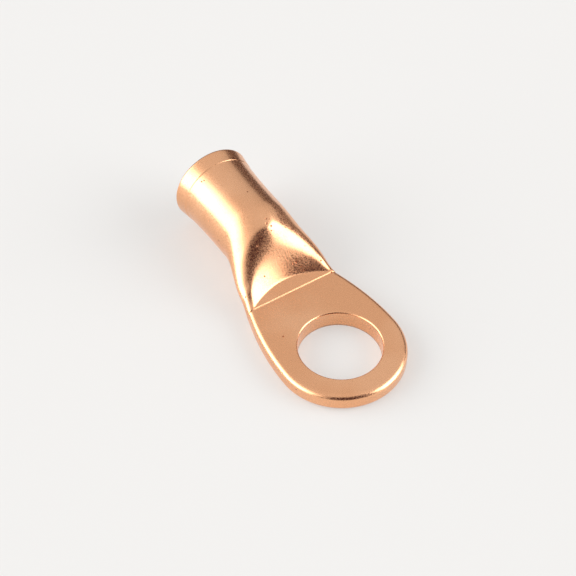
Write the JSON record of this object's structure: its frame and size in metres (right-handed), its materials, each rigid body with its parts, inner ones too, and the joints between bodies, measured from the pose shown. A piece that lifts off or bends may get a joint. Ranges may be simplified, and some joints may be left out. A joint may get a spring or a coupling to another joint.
{
  "type": "copper cable lug",
  "caption": "Tubular copper lug: a flared barrel takes a stripped cable for crimping and a flattened palm with a round hole bolts to a terminal stud.",
  "frame": {"origin": "centre of the stud hole on the palm's underside", "axes": "+Z out of the palm's upper face along the stud, +X along the barrel towards its open mouth, +Y across the palm"},
  "size_m": [0.0383, 0.0166, 0.0107],
  "materials": {
    "copper": "bare annealed copper, tumbled bright, with fine scratches"
  },
  "bodies": {
    "root": {"lug": "copper"}
  },
  "joints": []
}
